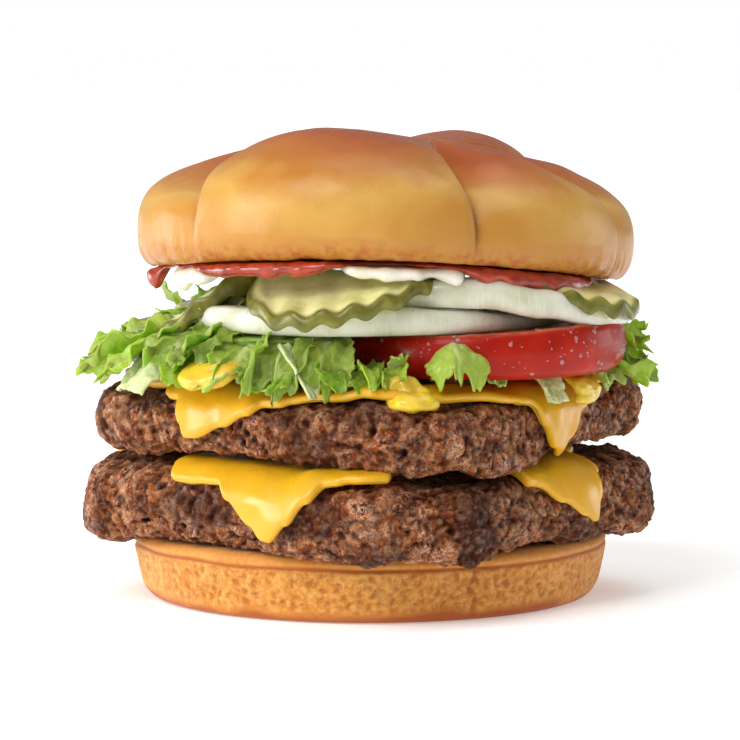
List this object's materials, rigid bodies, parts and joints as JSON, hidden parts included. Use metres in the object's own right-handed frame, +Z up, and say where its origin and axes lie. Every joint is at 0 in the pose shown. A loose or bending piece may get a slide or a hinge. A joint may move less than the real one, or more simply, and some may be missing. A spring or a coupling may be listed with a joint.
{
  "type": "double cheeseburger",
  "caption": "Tall burger: soft bun with swirled lobes round square beef patties, drooping cheese slices, lettuce, tomato, onion rings, crinkle-cut pickles and sauces",
  "frame": {"origin": "centre of the flat underside of the bun's heel", "axes": "+Z up through the stack, -Y towards the front, where the cheese corners hang down, +X to the right"},
  "size_m": [0.1276, 0.13, 0.1033],
  "materials": {
    "bun": "baked bread crust with a thin glaze, golden to toasted brown",
    "beef": "grilled ground beef, craggy, moist with fat",
    "cheese": "soft melted cheese slice, waxy sheen",
    "mustard": "glossy yellow mustard",
    "lettuce": "crisp thin leaves, translucent, pale at the ribs",
    "tomato": "glossy wet tomato skin",
    "onion": "moist translucent white onion",
    "pickle": "wet crinkle-cut pickle, olive skin and pale flesh",
    "mayonnaise": "glossy cream-white sauce",
    "ketchup": "glossy thick red sauce"
  },
  "bodies": {
    "root": {"bun_heel": "bun", "patty_lower": "beef", "cheese_lower": "cheese", "patty_upper": "beef", "cheese_upper": "cheese", "mustard_left": "mustard", "mustard_front": "mustard", "mustard_right": "mustard", "lettuce": "lettuce", "lettuce_leaf_front": "lettuce", "tomato_slice": "tomato", "onion_ring_low": "onion", "onion_ring_high": "onion", "onion_piece": "onion", "pickle_front": "pickle", "pickle_left": "pickle", "pickle_right": "pickle", "mayonnaise": "mayonnaise", "ketchup": "ketchup", "bun_crown": "bun"}
  },
  "joints": []
}
